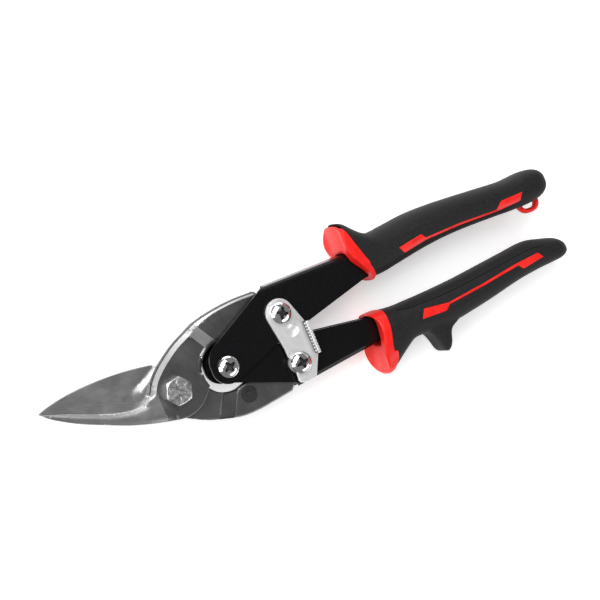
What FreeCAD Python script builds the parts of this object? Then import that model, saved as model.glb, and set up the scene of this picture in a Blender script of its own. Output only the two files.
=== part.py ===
"""Aviation snips, 10 inch class, left cut: compound-leverage tin snips lying closed and latched.

Frame: millimetres, +Z up. The tool lies on the plane z = 0 with its bolt head and latch upwards.
The origin is the main pivot's axis on that plane, +X runs towards the grips, +Y towards the upper handle.
Heights are given from the shear plane, the plane in which the two blades pass each other.
"""
import FreeCAD, Part
import math
import os
import Sketcher

V = FreeCAD.Vector

doc = FreeCAD.newDocument("AviationSnips")

# ---------------------------------------------------------------- driving dimensions
DIMENSIONS = [
    ("shear_height", 12.5, "shear plane above the resting plane"),
    ("hub_x", 24.5, "handle hinge, along X from the main pivot"),
    ("link_x", 54.5, "jaw tail pivots, along X from the main pivot"),
    ("link_y", 11.5, "jaw tail pivots, either side of the X axis"),
    ("jaw_thick", 4.6, "forged jaw thickness"),
    ("shear_gap", 0.05, "each blade's distance from the shear plane"),
    ("sheet", 1.5, "handle sheet thickness"),
    ("inner_half", 4.1, "half width of the lower, inner channel"),
    ("outer_half", 5.9, "half width of the upper, outer channel"),
    ("bend_radius", 2.4, "outer radius of the channel bends"),
    ("pin_radius", 2.5, "shank radius of the three small screws"),
    ("pin_fit", 0.05, "radial running fit on a pin"),
    ("open_fit", 0.35, "radial clearance at the opened tail pivot"),
    ("bolt_radius", 3.5, "main bolt shank, M7"),
    ("bolt_flats", 11.0, "main bolt head and nut across flats"),
    ("bolt_head", 4.0, "main bolt head height"),
    ("screw_head_radius", 4.6, "pan head radius"),
    ("screw_head_height", 2.4, "pan head height"),
    ("nut_flats", 8.0, "M5 nut across flats"),
    ("nut_height", 3.2, "M5 nut height"),
    ("jaw_clear", 10.8, "radius cleared in both jaws round the handle hinge"),
    ("eye_radius", 6.8, "eye of each jaw tail"),
    ("latch_thick", 1.6, "latch plate thickness"),
    ("latch_lift", 6.1, "underside of the latch plate above the shear plane"),
    ("slot_radius", 3.8, "latch slot radius"),
    ("guard_half", 12.5, "half width of the hand guards"),
    ("loop_bore", 2.0, "hang loop hole radius"),
    ("loop_ring", 3.8, "hang loop outer radius"),
    ("loop_thick", 5.0, "hang loop thickness"),
    ("wire_radius", 0.65, "torsion spring wire radius"),
]
sheet = doc.addObject("Spreadsheet::Sheet", "dims")
for row, (name, value, note) in enumerate(DIMENSIONS, start=1):
    sheet.set("A%d" % row, name)
    sheet.set("B%d" % row, str(value))
    sheet.set("C%d" % row, note)
    sheet.setAlias("B%d" % row, name)
doc.recompute()


def dim(name):
    """A driving dimension's value, for outlines that are worked out in code."""
    return float(sheet.get(name))


HUB = (dim("hub_x"), 0.0)
UPPER_PIN = (dim("link_x"), dim("link_y"))
LOWER_PIN = (dim("link_x"), -dim("link_y"))
PARTS = []


# ---------------------------------------------------------------- helpers
def bind(obj, **expressions):
    """Binds properties to the sheet; a double underscore in a name stands for a dot."""
    for key, expression in expressions.items():
        obj.setExpression(key.replace("__", "."), expression)


def new_body(label):
    body = doc.addObject("PartDesign::Body", label)
    body.Label = label
    PARTS.append(body)
    return body


def origin_plane(body, role):
    return next(f for f in body.Origin.OriginFeatures if getattr(f, "Role", "") == role)


def new_sketch(body, name, role="XY_Plane", height=None, turn=None):
    """A sketch on one of the body's origin planes, lifted by an expression along the plane's normal."""
    sketch = body.newObject("Sketcher::SketchObject", "%s_%s" % (body.Label, name))
    sketch.AttachmentSupport = [(origin_plane(body, role), "")]
    sketch.MapMode = "FlatFace"
    if turn is not None:
        sketch.AttachmentOffset = FreeCAD.Placement(V(0, 0, 0), FreeCAD.Rotation(V(0, 1, 0), turn))
    if height is not None:
        sketch.setExpression("AttachmentOffset.Base.z", height)
    return sketch


def trace(sketch, start, *steps):
    """A closed outline: (x, y) is a line, (xm, ym, x, y) an arc through a middle point,
    and a list of points is a smooth curve through all of them."""
    here = V(start[0], start[1], 0)
    first = here
    for step in steps + (start,):
        if isinstance(step, list):
            points = [here] + [V(x, y, 0) for x, y in step]
            curve = Part.BSplineCurve()
            curve.interpolate(points)
            sketch.addGeometry(curve, False)
            here = points[-1]
        elif len(step) == 4:
            end = V(step[2], step[3], 0)
            sketch.addGeometry(Part.Arc(here, V(step[0], step[1], 0), end), False)
            here = end
        else:
            end = V(step[0], step[1], 0)
            if (end - here).Length > 1e-6:
                sketch.addGeometry(Part.LineSegment(here, end), False)
            here = end
    assert (here - first).Length < 1e-6


def circle(sketch, radius, x="0", y="0"):
    """A circle whose radius and centre follow expressions."""
    index = sketch.addGeometry(Part.Circle(V(1, 1, 0), V(0, 0, 1), 1.5), False)
    for kind, expression in (("Radius", radius), ("DistanceX", x), ("DistanceY", y)):
        if kind == "Radius":
            number = sketch.addConstraint(Sketcher.Constraint(kind, index, 1.5))
        else:
            number = sketch.addConstraint(Sketcher.Constraint(kind, -1, 1, index, 3, 1.0))
        sketch.setExpression("Constraints[%d]" % number, expression)


def pad(body, sketch, length, midplane=False, reverse=False):
    feature = body.newObject("PartDesign::Pad", sketch.Name + "_pad")
    feature.Profile = sketch
    feature.Midplane = midplane
    feature.Reversed = reverse
    feature.setExpression("Length", length)
    doc.recompute()
    return feature


def pocket(body, sketch, length=None, reverse=False):
    """A pocket of a bound depth below the sketch, or through everything both ways when none is given."""
    before = body.Shape.Volume
    feature = body.newObject("PartDesign::Pocket", sketch.Name + "_pocket")
    feature.Profile = sketch
    feature.Reversed = reverse
    feature.Midplane = length is None
    if length is None:
        feature.Type = "ThroughAll"
    else:
        feature.setExpression("Length", length)
    doc.recompute()
    assert body.Shape.Volume < before - 0.01, "%s cuts nothing" % feature.Name
    return feature


def lift(body, height="dims.shear_height", x="0", y="0"):
    """Places a body: its own z = 0 is the shear plane unless another height is given."""
    bind(body, Placement__Base__x=x, Placement__Base__y=y, Placement__Base__z=height)


def polar(centre, radius, degrees):
    angle = math.radians(degrees)
    return (centre[0] + radius * math.cos(angle), centre[1] + radius * math.sin(angle))


# ---------------------------------------------------------------- jaws
# The joggle runs square to this direction: past it the forging steps from its blade's side of the
# shear plane to the middle, so that both tails sit centred in the handle channels.
JOGGLE_TURN = 32.7
JOGGLE_START = 22.1
JOGGLE_END = 27.8


def tail_outline(side):
    """Outline steps from the hinge clearance to the outer edge's front end; side is +1 above, -1 below."""
    clear, eye = dim("jaw_clear"), dim("eye_radius")
    pin = (UPPER_PIN[0], side * UPPER_PIN[1])
    clearance_middle = polar(HUB, clear, side * 150)
    clearance_end = polar(HUB, clear, side * 84)
    eye_start = polar(pin, eye, side * -105)
    eye_middle = polar(pin, eye, 0)
    eye_end = polar(pin, eye, side * 98)
    if side > 0:
        end, corner = (51.2, 21.4), (49.2, 24.0)
        back = [(40.0, 24.6), (31.5, 24.4), (24.3, 23.6), (18.0, 22.4)]
    else:
        end, corner = (50.4, -19.6), (48.2, -21.9)
        back = [(40.0, -22.5), (31.5, -23.0), (24.3, -22.6), (18.0, -21.0)]
    return [
        clearance_middle + clearance_end,
        eye_start,
        eye_middle + eye_end,
        end,
        corner,
        back,
    ]


def make_jaw(label, side, tip, back_edge, shoulder, cutting_edge, hole_upper, hole_tail):
    """One forged jaw. The full-height outline is cut to the stepped profile of the forging."""
    body = new_body(label)
    outline = new_sketch(body, "outline")
    hub_corner = polar(HUB, dim("jaw_clear"), side * 202)
    trace(outline, tip, back_edge, hub_corner, *tail_outline(side), shoulder, cutting_edge)
    pad(body, outline, "2 * dims.jaw_thick + 2", midplane=True)

    full = dim("jaw_thick")
    half = full / 2
    gap = dim("shear_gap")
    deep = 2 * full
    reach = 90.0
    # The profile is drawn along the joggle direction, and turned over for the lower jaw.
    turn = side * JOGGLE_TURN
    above = new_sketch(body, "face_profile", role="XZ_Plane", turn=turn)
    below = new_sketch(body, "back_profile", role="XZ_Plane", turn=turn)
    outer, inner = (above, below) if side > 0 else (below, above)
    trace(outer, (-reach, side * full), (JOGGLE_START, side * full), (JOGGLE_END, side * half),
          (reach, side * half), (reach, side * deep), (-reach, side * deep))
    trace(inner, (-reach, side * gap), (JOGGLE_START, side * gap), (JOGGLE_END, -side * half),
          (reach, -side * half), (reach, -side * deep), (-reach, -side * deep))
    pocket(body, above)
    pocket(body, below)

    holes = new_sketch(body, "pivot_holes")
    circle(holes, hole_upper)
    circle(holes, hole_tail, "dims.link_x", "%d * dims.link_y" % side)
    pocket(body, holes)
    return body


def taper_blade(body, side, start, direction, root, tip_thick, length):
    """Thins a blade evenly towards its tip on the side away from the shear plane."""
    sketch = new_sketch(body, "blade_taper", role="XZ_Plane", turn=direction)
    trace(sketch, (start, side * root), (start - length, side * tip_thick),
          (start - length - 20, side * tip_thick),
          (start - length - 20, side * 2 * root), (start, side * 2 * root))
    pocket(body, sketch)


# Upper jaw: its tail goes up, its blade lies below and in front of the other one.
upper_jaw = make_jaw(
    "upper_jaw", 1, (-57.2, 15.0),
    back_edge=[(-52.7, 10.8), (-43.7, 4.9), (-32.3, -1.0), (-22.0, -5.8), (-10.0, -9.9), (0.0, -12.1),
               (7.0, -10.8), (11.6, -7.4)],
    shoulder=[(9.4, 19.4), (3.0, 16.2), (-3.4, 12.0), (-8.0, 7.8), (-10.4, 4.2)],
    cutting_edge=[(-13.2, 1.0), (-18.5, 0.3), (-27.0, 2.2), (-37.0, 6.4), (-46.8, 10.9)],
    hole_upper="dims.bolt_radius + dims.pin_fit", hole_tail="dims.pin_radius + dims.open_fit")
taper_blade(upper_jaw, 1, -12.0, -17.0, dim("jaw_thick"), 2.2, 46.0)

# Lower jaw: its tail goes down, its leaf-shaped blade lies above and behind.
lower_jaw = make_jaw(
    "lower_jaw", -1, (-57.4, 15.2),
    back_edge=[(-53.0, 16.4), (-46.0, 17.4), (-38.0, 17.8), (-29.0, 17.6), (-20.0, 16.8), (-10.0, 15.2),
               (0.0, 12.7), (7.5, 9.6)],
    shoulder=[(10.0, -18.2), (4.0, -15.0), (-2.0, -11.2), (-6.5, -8.0)],
    cutting_edge=[(-12.0, -3.4), (-18.5, -1.6), (-27.0, 0.5), (-37.0, 4.7), (-46.8, 9.3)],
    hole_upper="dims.bolt_radius", hole_tail="dims.pin_radius + dims.pin_fit")
taper_blade(lower_jaw, -1, -12.0, -17.0, dim("jaw_thick"), 2.2, 46.0)
for jaw in (upper_jaw, lower_jaw):
    lift(jaw)


# ---------------------------------------------------------------- handle channels
def bend_edges(shape, half, spine_ends):
    """Names of the two outer edges that run along the channel's spine."""
    names = []
    for number, edge in enumerate(shape.Edges, start=1):
        ends = [v.Point for v in edge.Vertexes]
        if len(ends) == 2 and all(abs(abs(p.z) - half) < 1e-4 for p in ends):
            found = all(any(math.hypot(p.x - x, p.y - y) < 1e-3 for p in ends) for x, y in spine_ends)
            if found:
                names.append("Edge%d" % number)
    return names


def make_channel(label, side, half_name, outline_steps, start, spine, cavity):
    """A pressed channel: a solid of the outer shape, bent edges rounded, inside cleared to the sheet."""
    body = new_body(label)
    outline = new_sketch(body, "outline")
    trace(outline, start, *outline_steps)
    solid = pad(body, outline, "2 * dims.%s" % half_name, midplane=True)
    edges = bend_edges(solid.Shape, dim(half_name), spine)
    assert len(edges) == 2, "%s has %d bend edges" % (label, len(edges))
    rounds = body.newObject("PartDesign::Fillet", label + "_bends")
    rounds.Base = (solid, edges)
    rounds.setExpression("Radius", "dims.bend_radius")
    doc.recompute()
    inside = new_sketch(body, "inside", height="dims.%s - dims.sheet" % half_name)
    trace(inside, *cavity)
    pocket(body, inside, "2 * (dims.%s - dims.sheet)" % half_name)
    holes = new_sketch(body, "pivot_holes")
    fit = "dims.pin_radius + dims.pin_fit" if side > 0 else "dims.pin_radius"
    circle(holes, fit, "dims.hub_x")
    circle(holes, "dims.pin_radius", "dims.link_x", "%d * dims.link_y" % side)
    pocket(body, holes)
    lift(body)
    return body


wall = dim("sheet")
TANG_END = 176.0
nose = 7.3
upper_start = polar(HUB, nose, -72.7)
upper_channel = make_channel(
    "upper_handle_channel", 1, "outer_half",
    [polar(HUB, nose, -130) + polar(HUB, nose, 170), (19.4, 8.0, 24.3, 11.2), (51.8, 24.4), (92.0, 22.2),
     (TANG_END, 18.5), (TANG_END, 10.8), (110.0, 11.8), (66.3, 3.1), (50.0, 0.3)],
    upper_start, [(51.8, 24.4), (92.0, 22.2)],
    [(10.0, -10.0), (10.0, 30.0), (53.6, 30.0), (53.6, 24.3 - wall), (92.0, 22.2 - wall),
     (TANG_END + 5, 18.3 - wall), (TANG_END + 5, 2.0), (60.0, -10.0)])

nose = 6.7
lower_start = polar(HUB, nose, 73.6)
lower_channel = make_channel(
    "lower_handle_channel", -1, "inner_half",
    [polar(HUB, nose, 160) + polar(HUB, nose, -114.0), (50.4, -18.8), (51.4, -21.2), (92.0, -19.2),
     (TANG_END, -17.6), (TANG_END, -10.6), (110.0, -10.8), (68.0, -2.4), (50.0, -0.5)],
    lower_start, [(51.4, -21.2), (92.0, -19.2)],
    [(10.0, 10.0), (10.0, -30.0), (53.2, -30.0), (53.2, wall - 21.11), (92.0, wall - 19.2),
     (TANG_END + 5, wall - 17.48), (TANG_END + 5, -2.0), (60.0, 10.0)])


web_relief = new_sketch(upper_channel, "web_relief")
trace(web_relief, (50.5, 21.5), (55.0, 21.5), (55.0, 27.0), (50.5, 27.0))
pocket(upper_channel, web_relief, "dims.outer_half + 1")


# ---------------------------------------------------------------- fasteners
def make_pan_screw(label, x, y, height, shank):
    """A cross-recess pan head screw, head up; its own origin is under the head."""
    body = new_body(label)
    profile = new_sketch(body, "profile", role="XZ_Plane")
    shank_length = shank
    head, radius, pin = dim("screw_head_height"), dim("screw_head_radius"), dim("pin_radius")
    trace(profile, (0, -shank_length), (pin, -shank_length), (pin, 0), (radius, 0), (radius, 0.35 * head),
          (0.88 * radius, 0.8 * head, 0.45 * radius, head), (0, head))
    turned = body.newObject("PartDesign::Revolution", label + "_turned")
    turned.Profile = profile
    turned.ReferenceAxis = (profile, ["V_Axis"])
    turned.Angle = 360
    doc.recompute()
    cross = new_sketch(body, "cross", height="dims.screw_head_height")
    wide, long = 0.55, 2.5
    corners = [(wide, wide), (long, wide), (long, -wide), (wide, -wide), (wide, -long), (-wide, -long),
               (-wide, -wide), (-long, -wide), (-long, wide), (-wide, wide), (-wide, long), (wide, long)]
    trace(cross, *corners)
    pocket(body, cross, "0.6 * dims.screw_head_height")
    lift(body, height, x, y)
    return body


def make_nut(label, x, y, top, flats, height, bore):
    """A hexagon nut whose upper face is its own origin plane."""
    body = new_body(label)
    outline = new_sketch(body, "outline")
    across = dim(flats) / math.sqrt(3)
    trace(outline, *[polar((0, 0), across, 60 * k + 30) for k in range(6)])
    circle(outline, bore)
    pad(body, outline, height, reverse=True)
    lift(body, top, x, y)
    return body


def make_ring(label, x, y, base, outer, inner, height):
    """A plain round washer, collar or sleeve standing on its own origin plane."""
    body = new_body(label)
    outline = new_sketch(body, "outline")
    circle(outline, outer)
    circle(outline, inner)
    pad(body, outline, height)
    lift(body, base, x, y)
    return body


AXIAL = "0.1"
OUTER_NUT = "dims.shear_height - dims.outer_half - " + AXIAL
OUTER_SHANK = 2 * dim("outer_half") + 2 * float(AXIAL) + dim("nut_height")

# Handle hinge: screw, nut and the sleeve that keeps the lower channel's sides apart.
make_pan_screw("handle_hinge_screw", "dims.hub_x", "0", "dims.shear_height + dims.outer_half + " + AXIAL,
               OUTER_SHANK + 0.8)
make_nut("handle_hinge_nut", "dims.hub_x", "0", OUTER_NUT, "nut_flats", "dims.nut_height",
         "dims.pin_radius")
make_ring("handle_hinge_sleeve", "dims.hub_x", "0", "dims.shear_height - dims.inner_half + dims.sheet",
          "dims.pin_radius + 1.1", "dims.pin_radius", "2 * (dims.inner_half - dims.sheet)")

# Upper tail pivot, which the latch turns on: the screw head holds a washer and the latch.
LATCH_TOP = dim("latch_lift") + dim("latch_thick")
WASHER = 0.4
make_pan_screw("latch_pivot_screw", "dims.link_x", "dims.link_y",
               "dims.shear_height + dims.latch_lift + dims.latch_thick + %g" % (WASHER + float(AXIAL)),
               LATCH_TOP + WASHER + float(AXIAL) + dim("outer_half") + dim("nut_height") + 0.8)
make_ring("latch_pivot_washer", "dims.link_x", "dims.link_y",
          "dims.shear_height + dims.latch_lift + dims.latch_thick + " + AXIAL,
          "dims.screw_head_radius + 0.8", "dims.pin_radius", "%g" % WASHER)
make_nut("latch_pivot_nut", "dims.link_x", "dims.link_y", "dims.shear_height - dims.outer_half",
         "nut_flats", "dims.nut_height", "dims.pin_radius")
SPACER = "dims.outer_half - dims.sheet - dims.jaw_thick / 2 - 0.2"
make_ring("front_tail_spacer", "dims.link_x", "dims.link_y",
          "dims.shear_height + dims.jaw_thick / 2 + 0.2", "dims.pin_radius + 2.6", "dims.pin_radius",
          SPACER)
make_ring("rear_tail_spacer", "dims.link_x", "dims.link_y",
          "dims.shear_height - dims.outer_half + dims.sheet", "dims.pin_radius + 2.6", "dims.pin_radius",
          SPACER)

# Lower tail pivot, which the latch hooks on: a stepped collar carries the head above the latch.
CATCH_HEAD = LATCH_TOP + 0.2
make_pan_screw("catch_screw", "dims.link_x", "-dims.link_y", "dims.shear_height + %g" % CATCH_HEAD,
               CATCH_HEAD + dim("inner_half") + dim("nut_height") + 0.8)
make_nut("catch_nut", "dims.link_x", "-dims.link_y", "dims.shear_height - dims.inner_half",
         "nut_flats", "dims.nut_height", "dims.pin_radius")
make_ring("catch_collar", "dims.link_x", "-dims.link_y", "dims.shear_height + dims.inner_half",
          "dims.pin_radius + 1.9", "dims.pin_radius", "dims.latch_lift - dims.inner_half - 0.2")

# Main pivot: hexagon bolt, plain washer and lock nut; the bolt's end is the lowest point of the metalwork.
bolt = new_body("pivot_bolt")
bolt_outline = new_sketch(bolt, "hexagon", height="dims.jaw_thick + 0.1")
trace(bolt_outline, *[polar((0, 0), dim("bolt_flats") / math.sqrt(3), 60 * k + 8) for k in range(6)])
pad(bolt, bolt_outline, "dims.bolt_head")
bolt_shank = new_sketch(bolt, "shank", height="dims.jaw_thick + 0.1")
circle(bolt_shank, "dims.bolt_radius")
pad(bolt, bolt_shank, "dims.jaw_thick + 0.1 + dims.shear_height", reverse=True)
head_chamfer = new_sketch(bolt, "head_chamfer", role="XZ_Plane")
head_top = dim("jaw_thick") + 0.1 + dim("bolt_head")
corner = dim("bolt_flats") / math.sqrt(3)
trace(head_chamfer, (corner + 0.5, head_top + 0.2), (corner - 1.0, head_top + 0.2),
      (corner + 0.5, head_top - 0.9))
groove = bolt.newObject("PartDesign::Groove", "pivot_bolt_chamfer")
groove.Profile = head_chamfer
groove.ReferenceAxis = (head_chamfer, ["V_Axis"])
groove.Angle = 360
doc.recompute()
lift(bolt)
make_ring("pivot_washer", "0", "0", "dims.shear_height - dims.jaw_thick - 1.0", "7.0", "dims.bolt_radius",
          "1.0")
make_nut("pivot_lock_nut", "0", "0", "dims.shear_height - dims.jaw_thick - 1.0", "bolt_flats", "5.6",
         "dims.bolt_radius")

# ---------------------------------------------------------------- latch
latch = new_body("latch")
plate = new_sketch(latch, "plate")
PLATE_ROUND = 6.3
slot = dim("slot_radius")
SLOT_MOUTH = LOWER_PIN[0] - 2.2
lip_low = LOWER_PIN[1] - slot
lip_high = LOWER_PIN[1] + slot
trace(plate, polar(UPPER_PIN, PLATE_ROUND, 15),
      polar(UPPER_PIN, PLATE_ROUND, 100) + polar(UPPER_PIN, PLATE_ROUND, 190),
      (50.4, -3.6), (50.4, lip_high + 1.4), (50.9, lip_high + 0.3, SLOT_MOUTH, lip_high),
      (LOWER_PIN[0], lip_high), polar(LOWER_PIN, slot, 0) + (LOWER_PIN[0], lip_low), (SLOT_MOUTH, lip_low),
      (51.4, lip_low - 0.3, 51.0, lip_low - 1.2),
      (50.9, -18.3), (52.0, -19.9, 53.8, -20.3), (58.8, -20.3), (63.5, -11.4), (63.5, 4.4))
pad(latch, plate, "dims.latch_thick")
tab = new_sketch(latch, "thumb_tab")
trace(tab, (63.5 - 1.3, 4.2), (63.5, 4.2), (63.5, -10.6), (63.5 - 1.3, -10.6))
pad(latch, tab, "6.0")
latch_hole = new_sketch(latch, "pivot_hole")
circle(latch_hole, "dims.pin_radius + dims.pin_fit", "dims.link_x", "dims.link_y")
pocket(latch, latch_hole)
dimple = new_sketch(latch, "detent_dimple", height="dims.latch_thick")
circle(dimple, "2.6", "dims.link_x + 2.2", "2.6")
pocket(latch, dimple, "0.5")
lift(latch, "dims.shear_height + dims.latch_lift")


# ---------------------------------------------------------------- torsion spring
spring = new_body("torsion_spring")
coil = new_sketch(spring, "coil", height="-2.1")
circle(coil, "dims.pin_radius + 2.7", "dims.hub_x")
circle(coil, "dims.pin_radius + 1.4", "dims.hub_x")
pad(spring, coil, "4.2")
wire = dim("wire_radius")
for name, way in (("upper_leg", 1), ("lower_leg", -1)):
    leg = new_sketch(spring, name, height="%g" % (way * 1.4))
    near, far = way * (3.0 - wire), way * (3.0 + wire)
    trace(leg, (27.5, near), (64.0, near), (72.0, way * 15.5), (71.0, way * 16.2), (63.2, far), (27.5, far))
    pad(spring, leg, "2 * dims.wire_radius", midplane=True)
lift(spring)


# ---------------------------------------------------------------- grips
SECTION_POWER = 2.6
SECTION_POINTS = 16


def section(body, name, x, middle, half_y, half_z):
    """A grip section square to X: a superellipse, flatter on its faces than an ellipse."""
    sketch = new_sketch(body, name, role="YZ_Plane", height="%g" % x)
    points = []
    for k in range(SECTION_POINTS):
        c, d = math.cos(2 * math.pi * k / SECTION_POINTS), math.sin(2 * math.pi * k / SECTION_POINTS)
        points.append(V(middle + half_y * math.copysign(abs(c) ** (2 / SECTION_POWER), c),
                        half_z * math.copysign(abs(d) ** (2 / SECTION_POWER), d), 0))
    curve = Part.BSplineCurve()
    curve.interpolate(points, PeriodicFlag=True)
    sketch.addGeometry(curve, False)
    return sketch


def loft(body, name, stations):
    sections = [section(body, "%s_%d" % (name, k), *station) for k, station in enumerate(stations)]
    doc.recompute()
    feature = body.newObject("PartDesign::AdditiveLoft", "%s_%s" % (body.Label, name))
    feature.Profile = sections[0]
    feature.Sections = sections[1:]
    feature.Ruled = False
    doc.recompute()
    return feature


def prism(body, name, half, *outline):
    sketch = new_sketch(body, name)
    trace(sketch, *outline)
    return pad(body, sketch, "2 * %s" % half, midplane=True)


def clear_tang(body, side, half_name):
    """Clears the space that the steel tang fills, right through the grip from its open front end."""
    sketch = new_sketch(body, "tang_space", height="dims.%s" % half_name)
    if side > 0:
        trace(sketch, (80.0, 22.86), (92.0, 22.2), (TANG_END, 18.5), (TANG_END, 10.8), (110.0, 11.8),
              (80.0, 5.83))
    else:
        trace(sketch, (80.0, -19.79), (92.0, -19.2), (TANG_END, -17.6), (TANG_END, -10.6), (110.0, -10.8),
              (80.0, -4.8))
    pocket(body, sketch, "2 * dims.%s" % half_name)


FIT_FACE = 11.0

# Stations: x, middle y, half height, half thickness.
upper_grip = new_body("upper_grip_overmould")
loft(upper_grip, "sleeve", [
    (101.0, 18.3, 10.4, 11.6), (110.5, 17.0, 9.0, 11.0), (119.0, 17.8, 9.1, 11.0),
    (128.0, 18.4, 8.8, 11.0), (140.0, 18.3, 8.2, 11.0), (152.0, 17.6, 7.7, 10.8),
    (166.0, 16.0, 7.4, 10.4), (178.0, 14.8, 7.2, 10.0), (188.0, 14.5, 7.0, 9.2),
    (194.0, 14.6, 5.2, 7.0), (196.8, 14.6, 2.2, 3.0)])
prism(upper_grip, "guard_cap", "11", (94.3, 34.95), (94.9, 36.1, 96.4, 35.8), (104.0, 29.2), (104.0, 24.0),
      (98.1, 27.0))
lower_grip = new_body("lower_grip_overmould")
loft(lower_grip, "sleeve", [
    (100.0, -17.0, 10.2, 11.6), (110.0, -16.2, 8.5, 11.0), (119.0, -16.8, 8.7, 11.0),
    (128.0, -17.0, 8.7, 11.0), (140.0, -16.4, 8.2, 11.0), (152.0, -15.3, 7.7, 10.8),
    (166.0, -14.4, 7.2, 10.4), (178.0, -14.3, 6.7, 10.0), (186.0, -15.3, 5.7, 9.2),
    (191.6, -16.3, 4.2, 7.0), (194.4, -16.7, 1.8, 3.0)])
prism(lower_grip, "finger_spur", "6.5", (116.0, -20.0), (115.8, -26.4), (117.6, -31.0),
      (118.8, -35.2, 120.8, -36.1), (123.6, -34.0), (125.6, -29.2), (130.0, -25.2), (132.0, -20.0))
prism(lower_grip, "guard_back", "9", (100.0, -22.0), (95.5, -27.0), (92.7, -32.5), (94.9, -31.9),
      (102.5, -28.2), (108.5, -24.4), (108.0, -20.0))


def make_core(label, side, half_name, shape):
    """The hard core: the hand guard in front of the overmould."""
    body = new_body(label)
    prism(body, "guard", "dims.guard_half", *shape)
    clear_tang(body, side, half_name)
    lift(body)
    return body


upper_guard = [(100.9, 7.6), (98.6, 7.2), (94.4, 15.0, 89.8, 22.4), (88.8, 28.0, 92.4, 34.3), (94.2, 34.8),
               (97.9, 26.9), (100.9, 22.0)]
lower_guard = [(99.9, -6.8), (96.0, -6.0, 91.0, -6.0), (92.2, -12.0, 90.2, -19.0),
               (89.0, -27.0, 92.6, -32.6), (95.4, -27.1), (99.9, -22.1)]
make_core("upper_hand_guard", 1, "outer_half", upper_guard)
make_core("lower_hand_guard", -1, "inner_half", lower_guard)
clear_tang(upper_grip, 1, "outer_half")
clear_tang(lower_grip, -1, "inner_half")


def make_inlay(label, grip, side, face, outline):
    """A hard inlay flush with the grip's face, which is cleared for it; face is +1 in front, -1 behind."""
    body = new_body(label)
    depth = 3.0
    base = new_sketch(body, "outline", height="%g" % (face * (FIT_FACE - depth)))
    trace(base, *outline)
    pad(body, base, "%g" % depth, reverse=face < 0)
    window = new_sketch(grip, "window_" + label, height="%g" % (face * (FIT_FACE - depth)))
    trace(window, *outline)
    pocket(grip, window, "20", reverse=face > 0)
    lift(body)
    return body


upper_inlay = [(115.6, 16.4), (127.6, 17.4), (129.4, 15.2), (166.0, 13.2), (169.0, 15.6), (180.6, 15.0),
               (178.2, 11.6), (165.0, 12.2), (129.0, 14.0), (117.4, 12.6)]
lower_inlay = [(115.4, -13.6), (127.6, -15.2), (129.4, -14.6), (165.0, -13.2), (177.6, -12.8),
               (179.2, -15.8), (167.4, -16.8), (164.6, -14.2), (129.0, -15.8), (125.8, -18.4),
               (113.0, -17.6)]
for face, place in ((1, "front"), (-1, "rear")):
    make_inlay("upper_grip_%s_inlay" % place, upper_grip, 1, face, upper_inlay)
    make_inlay("lower_grip_%s_inlay" % place, lower_grip, -1, face, lower_inlay)

# Hang loop: a small ring under the upper grip's end, with a way cleared through the rubber above it.
LOOP = (185.4, 7.0)
loop = new_body("hang_loop")
ring = new_sketch(loop, "ring")
circle(ring, "dims.loop_ring", "%g" % LOOP[0], "%g" % LOOP[1])
circle(ring, "dims.loop_bore", "%g" % LOOP[0], "%g" % LOOP[1])
pad(loop, ring, "dims.loop_thick", midplane=True)
lift(loop)
scoop = new_sketch(upper_grip, "loop_scoop")
circle(scoop, "dims.loop_bore + 0.2", "%g" % LOOP[0], "%g" % LOOP[1])
pocket(upper_grip, scoop)
seat = new_sketch(upper_grip, "loop_seat", height="dims.loop_thick / 2")
circle(seat, "dims.loop_ring", "%g" % LOOP[0], "%g" % LOOP[1])
pocket(upper_grip, seat, "dims.loop_thick")
for grip in (upper_grip, lower_grip):
    lift(grip)

# ---------------------------------------------------------------- checks and export
doc.recompute()
for obj in doc.Objects:
    bad = [state for state in obj.State if state in ("Invalid", "Error")]
    assert not bad, "%s is %s" % (obj.Name, bad)
os.makedirs("parts", exist_ok=True)
for part in PARTS:
    shape = part.Shape
    assert not shape.isNull() and shape.isValid(), "%s has no valid shape" % part.Label
    assert len(shape.Solids) >= 1, "%s has no solid" % part.Label
    shape.exportStep("parts/%s.step" % part.Label)
    box = shape.BoundBox
    print("%-24s solids %d volume %8.1f  x %.1f..%.1f y %.1f..%.1f z %.1f..%.1f" % (
        part.Label, len(shape.Solids), shape.Volume, box.XMin, box.XMax, box.YMin, box.YMax,
        box.ZMin, box.ZMax))
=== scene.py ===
import math

import bmesh
import bpy
import numpy as np
from mathutils import Matrix, Vector
from mathutils.geometry import delaunay_2d_cdt


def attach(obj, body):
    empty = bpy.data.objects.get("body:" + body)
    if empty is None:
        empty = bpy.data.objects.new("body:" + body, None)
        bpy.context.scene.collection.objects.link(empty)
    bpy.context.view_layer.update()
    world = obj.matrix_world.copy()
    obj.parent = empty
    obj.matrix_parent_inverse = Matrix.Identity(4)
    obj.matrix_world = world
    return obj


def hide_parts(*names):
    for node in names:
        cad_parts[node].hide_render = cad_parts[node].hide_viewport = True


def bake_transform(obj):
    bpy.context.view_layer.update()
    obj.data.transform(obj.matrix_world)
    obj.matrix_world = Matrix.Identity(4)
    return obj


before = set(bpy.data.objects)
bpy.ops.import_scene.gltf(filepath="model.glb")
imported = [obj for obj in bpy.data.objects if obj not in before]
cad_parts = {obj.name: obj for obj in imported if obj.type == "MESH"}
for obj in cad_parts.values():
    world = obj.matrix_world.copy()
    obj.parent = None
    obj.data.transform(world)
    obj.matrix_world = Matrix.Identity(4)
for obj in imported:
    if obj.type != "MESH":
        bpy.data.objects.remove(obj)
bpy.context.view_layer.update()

# Shapes are worked out in millimetres about the main pivot, heights from the shear plane between the
# two blades; `shell` turns them into metres in the CAD frame.
MM = 0.001
SHEAR = 12.5
HUB = (24.5, 0.0)
LINK_X, LINK_Y = 54.5, 11.5
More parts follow.
